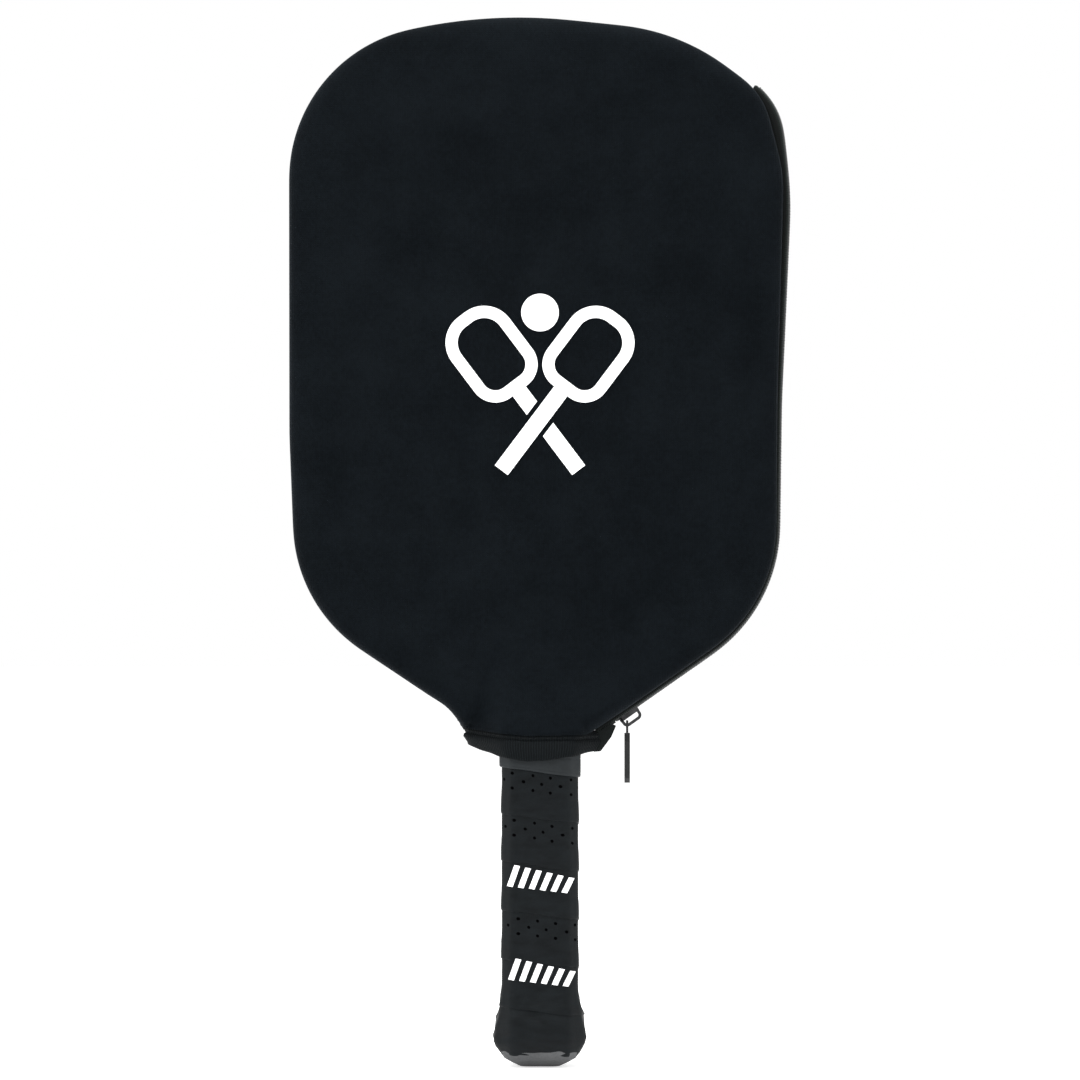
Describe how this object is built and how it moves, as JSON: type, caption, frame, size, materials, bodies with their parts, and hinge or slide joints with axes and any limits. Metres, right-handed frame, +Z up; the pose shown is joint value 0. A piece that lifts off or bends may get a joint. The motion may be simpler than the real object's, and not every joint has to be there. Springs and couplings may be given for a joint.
{
  "type": "paddle case",
  "caption": "Soft zip cover for a racket-sport paddle, shown closed over the paddle with its wrapped handle out of the bound mouth.",
  "frame": {"origin": "centre of the handle's butt end, on the paddle's middle plane", "axes": "+Z up the handle towards the top of the cover, +X to the side that the zip runs up, +Y to the back of the cover; the printed front faces -Y"},
  "size_m": [0.2032, 0.0356, 0.4255],
  "materials": {
    "neoprene": "matte knit-faced neoprene",
    "seam_tape": "matte woven seam tape",
    "binding": "ribbed grosgrain tape",
    "zip_tape": "woven zip tape",
    "zip_coil": "nylon coil",
    "zip_metal": "black enamelled zinc, worn at the edges",
    "pull": "glossy black enamel",
    "print": "white rubbery print",
    "core": "polymer honeycomb",
    "carbon_face": "peel-ply carbon fibre laminate",
    "guard": "moulded black polyurethane",
    "foam": "rigid handle foam",
    "cap": "moulded black rubber-like plastic",
    "base_grip": "cushioned polyurethane grip",
    "overgrip": "tacky perforated wrap",
    "collar": "smooth finishing tape"
  },
  "bodies": {
    "root": {"front_panel": "neoprene", "back_panel": "neoprene", "side_seam": "seam_tape", "front_neck_binding": "binding", "back_neck_binding": "binding", "front_zip_tape": "zip_tape", "back_zip_tape": "zip_tape", "front_zip_coil": "zip_coil", "back_zip_coil": "zip_coil", "zip_end_stop": "zip_metal", "zip_neck_stops": "zip_metal", "zip_end_tab": "zip_tape", "front_emblem": "print", "paddle_core": "core", "front_face_sheet": "carbon_face", "back_face_sheet": "carbon_face", "edge_guard": "guard", "front_handle_pallet": "foam", "back_handle_pallet": "foam", "butt_cap": "cap", "base_grip": "base_grip", "overgrip": "overgrip", "grip_collar": "collar", "grip_print": "print"},
    "slider": {"slider_body": "zip_metal", "slider_bail": "zip_metal"},
    "pull": {"pull_tab": "pull"}
  },
  "joints": [
    {"name": "zip_slide", "type": "slide", "parent": "root", "child": "slider", "axis": [0.8181, 0, 0.575], "range_m": [0, 0.036]},
    {"name": "pull_swing", "type": "hinge", "parent": "slider", "child": "pull", "pos_m": [0.03541, 0, 0.13987], "axis": [0, 1, 0], "range_deg": [-75, 36]}
  ]
}
